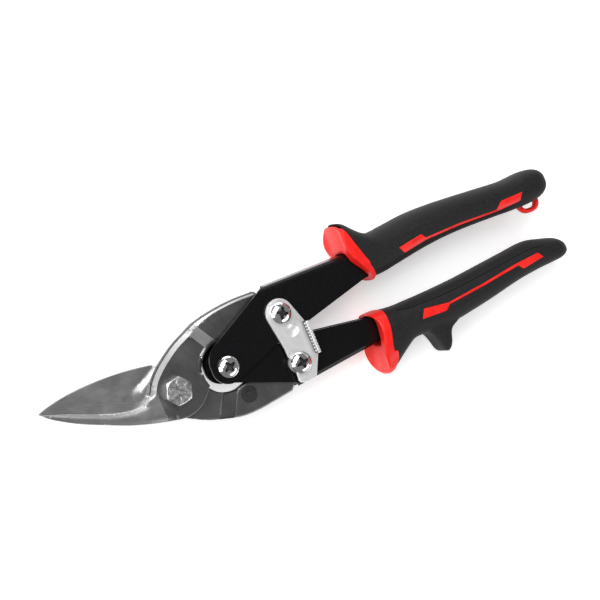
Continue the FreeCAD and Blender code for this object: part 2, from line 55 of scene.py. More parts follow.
UPPER_PIN, LOWER_PIN = (LINK_X, LINK_Y), (LINK_X, -LINK_Y)


# ------------------------------------------------------------------ camera and lights
def unit(angle):
    """A level vector at an angle in radians."""
    return np.array((math.cos(angle), math.sin(angle), 0.0))


TILT, TILT_AZIMUTH = math.radians(21), math.radians(160)
ROLL = math.radians(24)
DISTANCE, SENSOR, LENS = 970.0, 36.0, 139.536
# The top of the main bolt's head, and how far right and up of the view's middle it stands, at its distance.
BOLT_TOP = np.array((0.0, 0.0, 21.2))
BOLT_RIGHT, BOLT_UP = -50.135, -37.998


def tilted(v):
    """Turns a vector with the camera: by TILT about the level axis square to TILT_AZIMUTH."""
    w = np.cross((0, 0, 1), unit(TILT_AZIMUTH))
    return v * math.cos(TILT) + np.cross(w, v) * math.sin(TILT) + w * np.dot(w, v) * (1 - math.cos(TILT))


cam_x = tilted(unit(-ROLL))
cam_y = tilted(np.array((math.sin(ROLL), math.cos(ROLL), 0.0)))
cam_z = np.cross(cam_x, cam_y)
cam_place = (BOLT_TOP + cam_z * DISTANCE - cam_x * BOLT_RIGHT - cam_y * BOLT_UP) * MM
cam_data = bpy.data.cameras.new("camera")
cam_data.sensor_width = SENSOR
cam_data.lens = LENS
camera = bpy.data.objects.new("camera", cam_data)
bpy.context.collection.objects.link(camera)
cam_axes = np.array((cam_x, cam_y, cam_z)).T
camera.matrix_world = Matrix([[*row, place] for row, place in zip(cam_axes, cam_place)] + [[0, 0, 0, 1]])
bpy.context.scene.camera = camera
bpy.context.scene.view_settings.view_transform = "Standard"


def area_light(name, place, target, size, power):
    """A rectangular light at one place, aimed at another, in metres and watts."""
    data = bpy.data.lights.new(name, "AREA")
    data.shape, data.size, data.size_y, data.energy = "RECTANGLE", size[0], size[1], power
    light = bpy.data.objects.new(name, data)
    bpy.context.collection.objects.link(light)
    light.location = place
    light.rotation_mode = "QUATERNION"
    light.rotation_quaternion = (Vector(target) - Vector(place)).to_track_quat("-Z", "Y")


MIDDLE = (0.07, 0.0, 0.012)
area_light("overhead", (-0.20, 0.55, 0.90), MIDDLE, (1.0, 0.7), 9)
area_light("left_strip", (-0.85, 0.05, 0.45), MIDDLE, (0.5, 1.0), 5)
area_light("front_fill", (0.60, -0.95, 0.65), MIDDLE, (1.0, 0.5), 6)
area_light("back_strip", (0.35, 0.95, 0.30), MIDDLE, (1.2, 0.25), 3)

world = bpy.data.worlds.new("studio")
bpy.context.scene.world = world
world.use_nodes = True
world.node_tree.nodes["Background"].inputs["Color"].default_value = (1, 1, 1, 1)
world.node_tree.nodes["Background"].inputs["Strength"].default_value = 0.22


# ------------------------------------------------------------------ materials
class Nodes:
    """A material with a Principled shader and short ways to add texture nodes."""

    def __init__(self, name, colour, metallic, roughness, **sockets):
        self.material = bpy.data.materials.new(name)
        self.material.use_nodes = True
        self.tree = self.material.node_tree
        self.shader = self.tree.nodes["Principled BSDF"]
        self.set(**{"Base Color": (*colour, 1), "Metallic": metallic, "Roughness": roughness}, **sockets)
        self.coords = self.tree.nodes.new("ShaderNodeTexCoord").outputs["Object"]

    def set(self, **sockets):
        for key, value in sockets.items():
            self.shader.inputs[key.replace("_", " ")].default_value = value

    def link(self, a, b):
        self.tree.links.new(a, b)

    def stretch(self, scale, turn=0.0):
        node = self.tree.nodes.new("ShaderNodeMapping")
        node.vector_type = "POINT"
        node.inputs["Scale"].default_value = scale
        spin = self.tree.nodes.new("ShaderNodeVectorRotate")
        spin.rotation_type = "Z_AXIS"
        spin.inputs["Angle"].default_value = turn
        self.link(self.coords, spin.inputs["Vector"])
        self.link(spin.outputs[0], node.inputs["Vector"])
        return node.outputs[0]

    def noise(self, vector, scale=1.0, detail=3.0, roughness=0.55):
        node = self.tree.nodes.new("ShaderNodeTexNoise")
        node.inputs["Scale"].default_value = scale
        node.inputs["Detail"].default_value = detail
        node.inputs["Roughness"].default_value = roughness
        self.link(vector, node.inputs["Vector"])
        return node.outputs["Fac"]

    def spots(self, vector, scale):
        node = self.tree.nodes.new("ShaderNodeTexVoronoi")
        node.inputs["Scale"].default_value = scale
        self.link(vector, node.inputs["Vector"])
        return node.outputs["Distance"]

    def span(self, value, low, high, from_low=0.3, from_high=0.7):
        node = self.tree.nodes.new("ShaderNodeMapRange")
        sockets = ("From Min", "From Max", "To Min", "To Max")
        for key, number in zip(sockets, (from_low, from_high, low, high)):
            node.inputs[key].default_value = number
        self.link(value, node.inputs["Value"])
        return node.outputs[0]

    def ramp(self, value, stops):
        node = self.tree.nodes.new("ShaderNodeValToRGB")
        elements = node.color_ramp.elements
        while len(elements) < len(stops):
            elements.new(0.5)
        for element, (place, colour) in zip(elements, stops):
            element.position, element.color = place, (*colour, 1)
        self.link(value, node.inputs["Fac"])
        return node.outputs["Color"]

    def multiply(self, a, b):
        node = self.tree.nodes.new("ShaderNodeMath")
        node.operation = "MULTIPLY"
        self.link(a, node.inputs[0])
        self.link(b, node.inputs[1])
        return node.outputs[0]

    def colour(self, value, stops):
        self.link(self.ramp(value, stops), self.shader.inputs["Base Color"])

    def rough(self, value, low, high, from_low=0.3, from_high=0.7):
        self.link(self.span(value, low, high, from_low, from_high), self.shader.inputs["Roughness"])

    def bump(self, *layers):
        """Each layer is (height, strength, distance in millimetres)."""
        normal = None
        for height, strength, distance in layers:
            node = self.tree.nodes.new("ShaderNodeBump")
            node.inputs["Strength"].default_value = strength
            node.inputs["Distance"].default_value = distance * MM
            self.link(height, node.inputs["Height"])
            if normal is not None:
                self.link(normal, node.inputs["Normal"])
            normal = node.outputs["Normal"]
        self.link(normal, self.shader.inputs["Normal"])


def grey(*levels):
    return [(v, v, v) for v in levels]


def brushed(name, dark, light, low, high, turn, strength=0.35):
    """Ground steel: fine scratches along one direction, under slower clouds of stain."""
    m = Nodes(name, (light,) * 3, 1.0, high)
    scratches = m.noise(m.stretch((260, 9000, 2600), turn), 1.0, 5.0, 0.7)
    clouds = m.noise(m.coords, 90.0, 4.0)
    m.colour(scratches, list(zip((0.30, 0.5, 0.72), grey(dark, (dark + light) / 2, light))))
    m.rough(clouds, low, high)
    m.bump((scratches, strength, 0.02), (clouds, 0.15, 0.05))
    return m.material


steel_face = brushed("ground_steel", 0.12, 0.24, 0.32, 0.46, math.radians(65))
steel_blade = brushed("brushed_blade_steel", 0.24, 0.46, 0.34, 0.48, math.radians(-25))
steel_leaf = brushed("hollow_ground_steel", 0.28, 0.60, 0.28, 0.42, math.radians(20))
# Polished edges and the band round the lower jaw's gullet: the lower roughness is the polish, the lighter
# base colour is a painted highlight.
steel_edge_painted_highlight = brushed("polished_edge_steel", 0.66, 0.92, 0.20, 0.32, math.radians(65), 0.2)
# Near-black steel: painted shade along the upper jaw's outer rim and side wall, and the darker stamp on the
# lower jaw.
steel_edge_shade_and_stamp = brushed("stamped_recess_steel", 0.05, 0.13, 0.35, 0.5, math.radians(10))
# Ground bevels on the upper jaw: a lighter copy of the jaw steel, its lightness a painted highlight.
steel_bevel_painted_highlight = brushed("ground_bevel_steel", 0.46, 0.70, 0.34, 0.46, math.radians(65), 0.2)
# The upper jaw's joggle slope, far lighter than the face: a painted highlight where the slope faces the
# light.
steel_joggle_painted_highlight = brushed("joggle_steel", 0.70, 0.95, 0.30, 0.42, math.radians(65))
# The lower jaw's joggle slope, near black: painted shade.
steel_shade = brushed("joggle_steel_dark", 0.03, 0.07, 0.50, 0.62, math.radians(65))


def plated(name, dark, light, low, high, grain=2200.0, strength=0.25, speckle=(0.35, 0.65)):
    """Plated metal: a fine grain over slower clouds."""
    m = Nodes(name, (light,) * 3, 1.0, high)
    grains = m.noise(m.coords, grain, 3.0, 0.6)
    clouds = m.noise(m.coords, 700.0, 3.0)
    m.colour(m.multiply(grains, clouds), list(zip((speckle[0] ** 2, speckle[1] ** 2), grey(dark, light))))
    m.rough(clouds, low, high)
    m.bump((grains, strength, 0.03), (clouds, 0.08, 0.03))
    return m.material


zinc = plated("zinc_plate", 0.86, 0.94, 0.38, 0.48, 2600.0, 0.18, (0.3, 0.7))
zinc.node_tree.nodes["Principled BSDF"].inputs["Metallic"].default_value = 0.72
bolt_zinc = plated("rough_zinc", 0.34, 0.80, 0.30, 0.46, 1500.0, 0.6)
chrome = plated("nickel_plate", 0.70, 0.92, 0.08, 0.18, 1800.0, 0.06)
# Dark metal for the screws' cross recesses: painted shade.
recess = plated("recess_dark", 0.04, 0.16, 0.25, 0.5)
# Dark zinc for the thumb tab's side walls: painted shade.
tab_wall_painted_shade = plated("zinc_plate_worn", 0.06, 0.18, 0.32, 0.44, 2600.0, 0.18, (0.3, 0.7))
wire_steel = plated("spring_wire", 0.25, 0.5, 0.25, 0.4)

coated = Nodes("gloss_black_coating", (0.004, 0.004, 0.0045), 0.0, 0.24, Specular_IOR_Level=0.16,
               Coat_Weight=0.08, Coat_Roughness=0.1)
peel = coated.noise(coated.coords, 900.0, 2.0)
flecks = coated.noise(coated.coords, 3500.0, 2.0, 0.7)
coated.colour(flecks, [(0.45, (0.003, 0.003, 0.0035)), (0.8, (0.012, 0.012, 0.013))])
coated.rough(peel, 0.16, 0.28)
coated.bump((peel, 0.12, 0.03), (flecks, 0.08, 0.01))
black_paint = coated.material


def moulded_rubber(name, dark, light):
    """Soft grip rubber: a moulded grain under a mottled colour."""
    m = Nodes(name, grey(light)[0], 0.0, 0.62, Specular_IOR_Level=0.20)
    grain = m.spots(m.coords, 1900.0)
    mottle = m.noise(m.coords, 900.0, 4.0)
    m.colour(mottle, list(zip((0.35, 0.68), grey(dark, light))))
    m.rough(mottle, 0.55, 0.72)
    m.bump((grain, 0.30, 0.06), (mottle, 0.25, 0.05))
    return m.material


rubber = moulded_rubber("black_soft_rubber", 0.011, 0.020)
# Blacker rubber for the lower grip's crease line: painted shade.
crease_shade_rubber = moulded_rubber("black_crease_rubber", 0.002, 0.005)

red_nodes = Nodes("red_moulding", (0.74, 0.012, 0.012), 0.0, 0.36, Specular_IOR_Level=0.25)
fine = red_nodes.noise(red_nodes.coords, 2400.0, 2.0)
flow = red_nodes.noise(red_nodes.coords, 160.0, 3.0)
red_nodes.colour(flow, [(0.35, (0.80, 0.014, 0.011)), (0.65, (0.92, 0.022, 0.016))])
red_nodes.rough(flow, 0.30, 0.44)
red_nodes.bump((fine, 0.12, 0.03), (flow, 0.1, 0.05))
red = red_nodes.material

floor_nodes = Nodes("pale_floor", (0.9, 0.9, 0.9), 0.0, 0.7)
haze = floor_nodes.noise(floor_nodes.coords, 6.0, 2.0)
floor_nodes.colour(haze, [(0.3, (0.92, 0.92, 0.92)), (0.7, (0.95, 0.95, 0.95))])
floor_nodes.set(Emission_Color=(1, 1, 1, 1), Emission_Strength=0.42)


# ------------------------------------------------------------------ mesh helpers
def shell(name, verts, faces, materials, body, nodes=(), slot=None, face_slots=None, crease=32.0):
    """A mesh object from millimetre points; heights are lifted to the CAD frame."""
    mesh = bpy.data.meshes.new(name)
    verts = np.asarray(verts, dtype=float)
    mesh.from_pydata(((verts + (0, 0, SHEAR)) * MM).tolist(), [], [list(map(int, f)) for f in faces])
    for material in materials if isinstance(materials, (list, tuple)) else [materials]:
        mesh.materials.append(material)
    if face_slots is not None:
        mesh.polygons.foreach_set("material_index", np.asarray(face_slots, dtype=np.int32))
    mesh.polygons.foreach_set("use_smooth", [True] * len(mesh.polygons))
    mesh.set_sharp_from_angle(angle=math.radians(crease))
    mesh.update()
    obj = bpy.data.objects.new(name, mesh)
    bpy.context.collection.objects.link(obj)
    if body:
        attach(obj, body)
    if nodes:
        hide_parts(*nodes)
    return obj


def spline(points, step=0.5):
    """Catmull-Rom points through the given ones, the last left out."""
    p = np.asarray(points, dtype=float)
    padded = np.vstack((2 * p[0] - p[1], p, 2 * p[-1] - p[-2]))
    out = []
    for a, b, c, d in zip(padded, padded[1:], padded[2:], padded[3:]):
        n = max(1, int(np.linalg.norm(c - b) / step))
        t = (np.arange(n) / n)[:, None]
        out.append(0.5 * (2 * b + (c - a) * t + (2 * a - 5 * b + 4 * c - d) * t ** 2
                          + (3 * b - a - 3 * c + d) * t ** 3))
    return np.vstack(out)


def arc(centre, radius, start, end, step=0.5):
    n = max(2, int(abs(math.radians(end - start)) * radius / step) + 1)
    turn = np.radians(np.linspace(start, end, n))
    return np.column_stack((centre[0] + radius * np.cos(turn), centre[1] + radius * np.sin(turn)))


def closed(*runs, step=0.5):
    """Joins runs of points into one closed outline, its straight gaps filled."""
    points = np.vstack([np.atleast_2d(np.asarray(run, dtype=float)) for run in runs])
    out = []
    for a, b in zip(points, np.roll(points, -1, 0)):
        n = max(1, int(round(np.linalg.norm(b - a) / step)))
        out.append(a + (b - a) * (np.arange(n) / n)[:, None])
    return np.vstack(out)


def nearest(points, loop, is_closed=True):
    """Distance from each point to a polyline, and the index of the nearest stretch."""
    a = loop if is_closed else loop[:-1]
    b = np.roll(loop, -1, 0) if is_closed else loop[1:]
    ab = b - a
    size = np.maximum((ab ** 2).sum(1), 1e-12)
    best, index = np.empty(len(points)), np.empty(len(points), dtype=int)
    for start in range(0, len(points), 2000):
        p = points[start:start + 2000]
        t = np.clip(((p[:, None] - a) * ab).sum(2) / size, 0, 1)
        d = np.linalg.norm(p[:, None] - a - ab * t[..., None], axis=2)
        index[start:start + 2000] = d.argmin(1)
        best[start:start + 2000] = d.min(1)
    return best, index


def inside(points, loop):
    """Whether each point lies inside a closed outline."""
    x, y = points[:, 0][:, None], points[:, 1][:, None]
    a, b = loop, np.roll(loop, -1, 0)
    crosses = (a[:, 1] > y) != (b[:, 1] > y)
    with np.errstate(divide="ignore", invalid="ignore"):
        at = (b[:, 0] - a[:, 0]) * (y - a[:, 1]) / (b[:, 1] - a[:, 1]) + a[:, 0]
    return (crosses & (x < at)).sum(1) % 2 == 1


def inner_ring(loop, depth):
    """Points at one distance inside an outline, for a crisp chamfer edge."""
    tangent = np.roll(loop, -1, 0) - np.roll(loop, 1, 0)
    normal = np.column_stack((-tangent[:, 1], tangent[:, 0])) / np.linalg.norm(tangent, axis=1)[:, None]
    area = (loop[:, 0] * np.roll(loop[:, 1], -1) - np.roll(loop[:, 0], -1) * loop[:, 1]).sum()
    ring = loop + normal * (depth if area > 0 else -depth)
    d, _ = nearest(ring, loop)
    return ring[(d > depth - 0.02) & inside(ring, loop)]


def plate(name, outline, holes, top, bottom, materials, body, nodes=(), slot=None, pick=None,
          step=0.8, rings=(), lines=(), crease=25.0):
    """A plate with the given outline whose two faces follow height functions of the place.

    top and bottom take the points and their distance to the outline; pick gives each face's material
    from its middle and its normal.
    """
    loops = [outline, *holes]
    extra = [inner_ring(outline, depth) for depth in rings]
    extra += [np.asarray(line, dtype=float) for line in lines]
    low, high = outline.min(0), outline.max(0)
    xs, ys = np.meshgrid(np.arange(low[0], high[0], step), np.arange(low[1], high[1], step * 0.87))
    xs = xs + (np.arange(xs.shape[0]) % 2)[:, None] * step / 2
    grid = np.column_stack((xs.ravel(), ys.ravel()))
    grid = grid[inside(grid, outline)]
    for hole in holes:
        grid = grid[~inside(grid, hole)]
    for loop in loops:
        grid = grid[nearest(grid, loop)[0] > 0.45 * step]
    for line in extra:
        if len(line) > 1:
            gap = np.sqrt(((grid[:, None] - line[None]) ** 2).sum(2)).min(1)
            grid = grid[gap > 0.5 * step]
    points, edges, base = [], [], 0
    for loop in loops:
        points.append(loop)
        edges += [(base + k, base + (k + 1) % len(loop)) for k in range(len(loop))]
        base += len(loop)
    points = np.vstack(points + extra + [grid])
    made = delaunay_2d_cdt([Vector(p) for p in points], edges, [], 1, 1e-5)
    flat = np.array([tuple(v) for v in made[0]])
    tris = np.array([f for f in made[2] if len(f) == 3])
    middle = flat[tris].mean(1)
    keep = inside(middle, outline)
    for hole in holes:
        keep &= ~inside(middle, hole)
    tris = tris[keep]
    a, b, c = flat[tris[:, 0]], flat[tris[:, 1]], flat[tris[:, 2]]
    area = (b[:, 0] - a[:, 0]) * (c[:, 1] - a[:, 1]) - (b[:, 1] - a[:, 1]) * (c[:, 0] - a[:, 0])
    tris, area = tris[abs(area) > 1e-7], area[abs(area) > 1e-7]
    tris[area < 0] = tris[area < 0][:, ::-1]
    used, tris = np.unique(tris, return_inverse=True)
    tris = tris.reshape(-1, 3)
    flat = flat[used]
    depth, _ = nearest(flat, outline)
    n = len(flat)
    upper = np.column_stack((flat, top(flat, depth)))
    verts = np.vstack((upper, np.column_stack((flat, bottom(flat, depth)))))
    directed = {}
    for t in tris:
        for p, q in ((t[0], t[1]), (t[1], t[2]), (t[2], t[0])):
            directed[(p, q)] = True
    rim = [(p, q) for p, q in directed if (q, p) not in directed]
    faces = [tuple(t) for t in tris] + [tuple(t[::-1] + n) for t in tris]
    faces += [(p + n, q + n, q, p) for p, q in rim]
    slots = None
    if pick is not None:
        centres = np.array([verts[list(f)].mean(0) for f in faces])
        normals = np.array([np.cross(verts[f[1]] - verts[f[0]], verts[f[2]] - verts[f[0]]) for f in faces])
        normals /= np.maximum(np.linalg.norm(normals, axis=1), 1e-12)[:, None]
        slots = pick(centres, normals)
    return shell(name, verts, faces, materials, body, nodes, slot, slots, crease)


def skin(rings, capped=True):
    """Points and faces over closed rings of equal length, the ends closed by fans if capped."""
    rings = np.asarray(rings)
    count, around = rings.shape[:2]
    verts = rings.reshape(-1, 3)
    faces = []
    for i in range(count - 1):
        for j in range(around):
            k = (j + 1) % around
            faces.append((i * around + j, (i + 1) * around + j, (i + 1) * around + k, i * around + k))
    for row, flip in ((0, False), (count - 1, True)) if capped else ():
        verts = np.vstack((verts, rings[row].mean(0)))
        hub = len(verts) - 1
        for j in range(around):
            a, b = row * around + j, row * around + (j + 1) % around
            faces.append((hub, b, a) if flip else (hub, a, b))
    return verts, faces


# ------------------------------------------------------------------ jaws
JOGGLE_TURN = math.radians(32.7)
JOGGLE_START, JOGGLE_END = 22.1, 27.8
JAW, GAP = 4.6, 0.05
JOGGLE_DROP, BLADE_TAPER = 2.3, 2.4
PIN_RADIUS, OPEN_FIT, SNUG_FIT = 2.5, 0.35, 0.05
BOLT_RADIUS, BOLT_HOLE = 3.5, 3.55
# Places in each jaw's list of materials; EDGE holds painted highlights, SLOPE a painted highlight on the
# upper jaw and painted shade on the lower, DARK painted shade along the upper jaw's edge and the lower jaw's
# darker stamp.
FACE, BLADE, EDGE, SLOPE, DARK = range(5)
HUB_CLEAR, EYE = 10.8, 6.8
BLADE_TURN = math.radians(-17.0)


def polar(centre, radius, degrees):
    """A point at a radius and angle from a centre."""
    return (centre[0] + radius * math.cos(math.radians(degrees)),
            centre[1] + radius * math.sin(math.radians(degrees)))


def tail_runs(side):
    """The outline from the hinge clearance round the tail's eye to its outer edge."""
    pin = (LINK_X, side * LINK_Y)
    if side > 0:
        end, back = (51.2, 21.4), [(49.2, 24.0), (40.0, 24.6), (31.5, 24.4), (24.3, 23.6), (18.0, 22.4)]
    else:
        end, back = (50.4, -19.6), [(48.2, -21.9), (40.0, -22.5), (31.5, -23.0), (24.3, -22.6), (18.0, -21.0)]
    return [arc(HUB, HUB_CLEAR, side * 202, side * 84), arc(pin, EYE, side * -105, side * 98), end, back[0],
            spline(back)]


def step_of(points, side):
    """0 on the blade's side of the joggle, 1 on the tail's."""
    along = points[:, 0] * math.cos(JOGGLE_TURN) + side * points[:, 1] * math.sin(JOGGLE_TURN)
    return np.clip((along - JOGGLE_START) / (JOGGLE_END - JOGGLE_START), 0, 1)


def blade_reach(points):
    """0 at the blade's root, 1 at its tip."""
    along = points[:, 0] * math.cos(BLADE_TURN) + points[:, 1] * math.sin(BLADE_TURN)
    return np.clip((-12.0 - along) / 46.0, 0, 1)


def smooth(t):
    """0 to 1 with level ends."""
    t = np.clip(t, 0, 1)
    return t * t * (3 - 2 * t)


def edge_round(depth, width, drop):
    """How far a face falls away within `width` of its outline, as a round."""
    t = np.clip(1 - depth / width, 0, 1)
    return drop * (1 - np.sqrt(np.maximum(0, 1 - t ** 2)))


upper_jaw_outline = closed(
    spline([(-57.2, 15.0), (-52.7, 10.8), (-43.7, 4.9), (-32.3, -1.0), (-22.0, -5.8), (-10.0, -9.9),
            (0.0, -12.1), (7.0, -10.8), (11.6, -7.4), polar(HUB, HUB_CLEAR, 202)]),
    *tail_runs(1),
    spline([(18.0, 22.4), (9.4, 19.4), (3.0, 16.2), (-3.4, 12.0), (-8.0, 7.8), (-10.4, 4.2), (-13.2, 1.0),
            (-18.5, 0.3), (-27.0, 2.2), (-37.0, 6.4), (-46.8, 10.9), (-57.2, 15.0)]))
SHOULDER = 2.3
disc_edge = np.array([(-8.6, 3.2), (-6.2, -0.6), (-5.6, -4.0), (-4.2, -7.6), (-2.4, -11.8)])


def shoulder_width(points):
    """The ground bevel along the upper jaw's outer edge narrows towards its tail."""
    return SHOULDER * (1 - 0.45 * smooth((points[:, 0] - 14.0) / 16.0))


def upper_front(points, depth):
    step, reach = step_of(points, 1), blade_reach(points)
    face = JAW - JOGGLE_DROP * step - BLADE_TAPER * reach
    outer = smooth((points[:, 1] - 1.0) / 2.5) * (points[:, 0] > -13.0) * (points[:, 0] < 50.5)
    fall = np.where(points[:, 0] < 16, 0.85, 0.5)
    chamfer = np.maximum(outer * np.clip(shoulder_width(points) - depth, 0, None) * fall,
                         edge_round(depth, 0.45, 0.45))
    blade = points[:, 0] < -4
    away, at = nearest(points, disc_edge, False)
    left = blade & (points[:, 0] < np.interp(points[:, 1], disc_edge[::-1, 1], disc_edge[::-1, 0]))
    belly = np.where(left, 0.55 * smooth(away / 3.0), 0)
    low_edge = np.where(left & (points[:, 1] < 0.42 * -points[:, 0] - 6.0), edge_round(depth, 3.2, 1.3), 0)
    return face - np.maximum(chamfer, low_edge) - belly


def upper_back(points, depth):
    step = step_of(points, 1)
    return GAP * (1 - step) - JOGGLE_DROP * step + edge_round(depth, 0.35, 0.35) * (step > 0.5)


def upper_pick(centres, normals):
    flat = normals[:, 2] > 0.9
    wall = abs(normals[:, 2]) < 0.4
    chamfer = (normals[:, 2] > 0.4) & (normals[:, 2] < 0.93)
    joggle = step_of(centres, 1)
    slope = (joggle > 0.02) & (joggle < 0.98)
    shoulder = (centres[:, 1] > -1) & (centres[:, 0] > -34)
    depth, _ = nearest(centres[:, :2], upper_jaw_outline)
    rim = (centres[:, 1] > 3) & (centres[:, 0] > -13) & (centres[:, 0] < 50.5) & (normals[:, 2] > 0.15)
    slots = np.full(len(centres), FACE)
    slots[(centres[:, 0] < -8) & (centres[:, 2] > 0)] = BLADE
    # Chamfers, the shoulder band and the joggle's walls take EDGE, a painted highlight.
    slots[(wall | chamfer) & shoulder & ~slope] = EDGE
    # The joggle's slope takes SLOPE: painted highlight.
    slots[slope & ~wall & (normals[:, 2] > 0)] = SLOPE
    slots[slope & wall] = EDGE
    slots[flat & (centres[:, 0] < -8)] = BLADE
    slots[rim & (depth < shoulder_width(centres)) & (centres[:, 0] < 50)] = EDGE
    # The outermost round and the outer side wall take DARK, a painted shade line.
    slots[rim & (depth < 0.42)] = DARK
    slots[wall & (centres[:, 1] > 3) & (centres[:, 0] > -13)] = DARK
    return slots


bolt_hole = arc((0, 0), BOLT_HOLE, 0, 350, 0.6)
plate("jaw_upper_forging", upper_jaw_outline, [bolt_hole, arc(UPPER_PIN, PIN_RADIUS + OPEN_FIT, 0, 350, 0.6)],
      upper_front, upper_back, [steel_face, steel_blade, steel_bevel_painted_highlight, steel_joggle_painted_highlight, steel_edge_shade_and_stamp], "upper_jaw",
      ["upper_jaw"], "jaw_steel", upper_pick, rings=(0.2, 0.45, 1.3, 2.3), lines=[spline(disc_edge)])

lower_jaw_outline = closed(
    spline([(-57.4, 15.2), (-53.0, 16.4), (-46.0, 17.4), (-38.0, 17.8), (-29.0, 17.6), (-20.0, 16.8),
            (-10.0, 15.2), (0.0, 12.7), (7.5, 9.6), polar(HUB, HUB_CLEAR, -202)]),
    *tail_runs(-1),
    spline([(18.0, -21.0), (10.0, -18.2), (4.0, -15.0), (-2.0, -11.2), (-6.5, -8.0), (-12.0, -3.4),
            (-18.5, -1.6), (-27.0, 0.5), (-37.0, 4.7), (-46.8, 9.3), (-57.4, 15.2)]))
runout_top = spline([(2.5, 14.6), (-0.8, 12.8), (-4.6, 10.0), (-8.0, 7.6), (-12.0, 5.6), (-12.6, 4.0),
                     (-11.4, 1.6), (-11.0, -3.0)])
runout_foot = spline([(-1.6, 15.4), (-4.4, 13.2), (-7.4, 11.2), (-12.0, 9.2), (-16.4, 7.2), (-17.2, 4.0),
                      (-16.0, -3.0)])
STAMP, STAMP_RADIUS = (29.6, -14.9), 3.6


def lower_front(points, depth):
    step, reach = step_of(points, -1), blade_reach(points)
    top_gap, _ = nearest(points, runout_top, False)
    ground = points[:, 0] < np.interp(points[:, 1], runout_top[::-1, 1], runout_top[::-1, 0])
    foot_gap, _ = nearest(points, runout_foot, False)
    part = np.where(ground, top_gap / np.maximum(top_gap + foot_gap, 1e-6), 0)
    beyond = points[:, 0] < np.interp(points[:, 1], runout_foot[::-1, 1], runout_foot[::-1, 0])
    part = np.where(beyond, 1.0, part)
    across = np.clip(depth / 6.0, 0, 1)
    hollow = (0.55 + 0.45 * across) * part * (1.0 - 0.45 * reach)
    stamp = np.hypot(points[:, 0] - STAMP[0], points[:, 1] - STAMP[1])
    ring = np.where((stamp < STAMP_RADIUS) & (stamp > 1.3), 0.28, 0)
    rim = np.where(points[:, 0] < 8, edge_round(depth, 0.4, 0.4), edge_round(depth, 0.8, 0.7))
    return -GAP * (1 - step) + JOGGLE_DROP * step - hollow - ring - rim


def lower_back(points, depth):
    step, reach = step_of(points, -1), blade_reach(points)
    return -JAW + JOGGLE_DROP * step + BLADE_TAPER * reach + edge_round(depth, 1.2, 1.0)


def lower_pick(centres, normals):
    flat = normals[:, 2] > 0.7
    joggle = step_of(centres, -1)
    slope = (joggle > 0.02) & (joggle < 0.98)
    runout = np.interp(centres[:, 1], runout_top[::-1, 1], runout_top[::-1, 0])
    stamp = np.hypot(centres[:, 0] - STAMP[0], centres[:, 1] - STAMP[1])
    slots = np.full(len(centres), FACE)
    # The band round the gullet and the blade's side walls take EDGE, a painted highlight.
    slots[flat & (centres[:, 0] < 8) & (centres[:, 0] >= runout) & (centres[:, 1] > -4)] = EDGE
    slots[(centres[:, 0] < runout) & (normals[:, 2] > 0)] = BLADE
    # The joggle's slope takes SLOPE: painted shade.
    slots[slope & (normals[:, 2] > 0.3)] = SLOPE
    slots[(stamp < STAMP_RADIUS) & (normals[:, 2] > 0)] = DARK
    slots[(abs(normals[:, 2]) < 0.5) & (centres[:, 0] < 8)] = EDGE
    return slots


plate("jaw_lower_forging", lower_jaw_outline, [bolt_hole * (BOLT_RADIUS / BOLT_HOLE),
      arc(LOWER_PIN, PIN_RADIUS + SNUG_FIT, 0, 350, 0.6)],
      lower_front, lower_back, [steel_face, steel_leaf, steel_edge_painted_highlight, steel_shade, steel_edge_shade_and_stamp], "lower_jaw",
      ["lower_jaw"], "jaw_steel", lower_pick, rings=(0.2, 0.4, 0.8),
      lines=[runout_top, runout_foot, arc(STAMP, STAMP_RADIUS - 0.12, 0, 352),
             arc(STAMP, STAMP_RADIUS + 0.05, 0, 352), arc(STAMP, 1.25, 0, 340, 0.4),
             arc(STAMP, 1.4, 0, 340, 0.4)])


# ------------------------------------------------------------------ guards and grips
AROUND = 96
POWER = 2.7


def spine_at(points, share):
    """Places along a smooth run through the given points, by share of its length."""
    run = np.vstack((spline(points, 0.4), points[-1]))
    length = np.concatenate(([0], np.cumsum(np.linalg.norm(np.diff(run, axis=0), axis=1))))
    length /= length[-1]
    return np.column_stack((np.interp(share, length, run[:, 0]), np.interp(share, length, run[:, 1])))


def ring_of(spine, half, power=POWER, bow=0.0, narrow=0.0):
    """A closed section: it runs from the spine's first point to its last and `half` to each side.

    bow sets its sides back along X, and narrow draws it in towards the spine's first point.
    """
    turn = np.linspace(0, 2 * math.pi, AROUND, endpoint=False)
    c, s = np.cos(turn), np.sin(turn)
    c = np.sign(c) * abs(c) ** (2 / power)
    s = np.sign(s) * abs(s) ** (2 / power)
    share = 0.5 + 0.5 * c
    flat = spine_at(spine, share)
    flat[:, 0] += bow * s ** 2
    return np.column_stack((flat, s * half * (1 - narrow * (1 - share) ** 2)))


def straight(x, low, high, half):
    """A section square to X."""
    return ring_of([(x, low), (x, (low + high) / 2), (x, high)], half)


def through(rings, count):
    """More rings, on smooth runs through the given ones."""
    rings = np.asarray(rings)
    gaps = np.linalg.norm(np.diff(rings, axis=0), axis=2).mean(1)
    along = np.concatenate(([0], np.cumsum(gaps)))
    at = np.linspace(0, along[-1], count)
    slope = np.empty_like(rings)
    slope[1:-1] = (rings[2:] - rings[:-2]) / (along[2:] - along[:-2])[:, None, None]
    slope[0] = (rings[1] - rings[0]) / gaps[0]
    slope[-1] = (rings[-1] - rings[-2]) / gaps[-1]
    out = []
    for place in at:
        k = min(int(np.searchsorted(along, place, side="right")) - 1, len(gaps) - 1)
        h, t = gaps[k], (place - along[k]) / gaps[k]
        out.append((2 * t ** 3 - 3 * t ** 2 + 1) * rings[k] + (t ** 3 - 2 * t ** 2 + t) * h * slope[k]
                   + (3 * t ** 2 - 2 * t ** 3) * rings[k + 1] + (t ** 3 - t ** 2) * h * slope[k + 1])
    return np.array(out)


